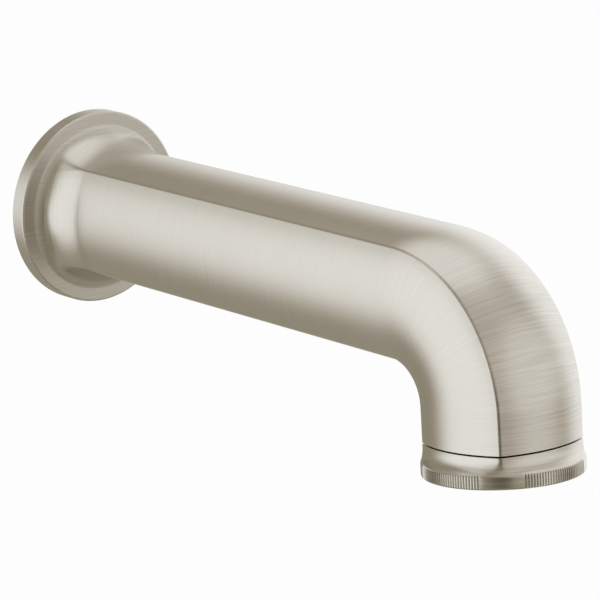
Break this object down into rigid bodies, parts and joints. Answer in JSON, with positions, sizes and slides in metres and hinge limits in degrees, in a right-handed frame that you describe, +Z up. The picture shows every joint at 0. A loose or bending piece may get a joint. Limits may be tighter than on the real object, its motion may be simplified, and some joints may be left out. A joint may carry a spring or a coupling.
{
  "type": "bath spout with pull-down diverter",
  "caption": "Wall-mounted bath spout: a long soft-square tube on a round flange, bent down to a knurled ring that is pulled down to divert the water.",
  "frame": {"origin": "centre of the pipe thread in the wall plane, which is the back face of the flange", "axes": "+X out of the wall along the spout, +Z up, +Y to the left seen from in front of the wall"},
  "size_m": [0.2231, 0.064, 0.0816],
  "materials": {
    "nickel_casting": "brushed nickel plate on cast brass",
    "nickel_ring": "brushed nickel plate on turned brass, knurled",
    "raw_brass": "turned, unplated",
    "stainless": "turned stainless steel",
    "spring_steel": "drawn stainless spring wire",
    "seal_rubber": "matt nitrile rubber",
    "wall_foam": "closed-cell sealing foam, modelled as rubber",
    "white_acetal": "moulded, satin",
    "grey_acetal": "moulded, satin",
    "screen_plastic": "moulded, matt"
  },
  "bodies": {
    "spout": {"wall_flange": "nickel_casting", "spout_tube": "nickel_casting", "spout_elbow": "nickel_casting", "wall_gasket": "wall_foam", "inlet_adapter": "raw_brass", "adapter_o_ring_rear": "seal_rubber", "adapter_o_ring_front": "seal_rubber", "set_screw": "stainless", "diverter_housing": "white_acetal", "housing_o_ring": "seal_rubber", "valve_seat": "raw_brass", "stem_bush": "grey_acetal", "return_spring": "spring_steel"},
    "diverter": {"valve_stem": "stainless", "spring_washer": "stainless", "valve_seal": "seal_rubber", "valve_disc": "raw_brass", "stem_nut": "stainless", "ring_carrier": "white_acetal", "carrier_o_ring": "seal_rubber", "carrier_screws": "stainless", "stem_screw": "stainless", "stem_washer": "stainless", "pull_ring": "nickel_ring", "aerator_gasket": "seal_rubber", "aerator_screen": "screen_plastic", "stream_straightener": "grey_acetal"}
  },
  "joints": [
    {"name": "diverter_pull", "type": "slide", "parent": "spout", "child": "diverter", "axis": [0.0872, 0, -0.9962], "range_m": [0, 0.0065], "stiffness_N_per_m": 700, "springref_m": -0.004, "deforming": ["return_spring"]}
  ]
}
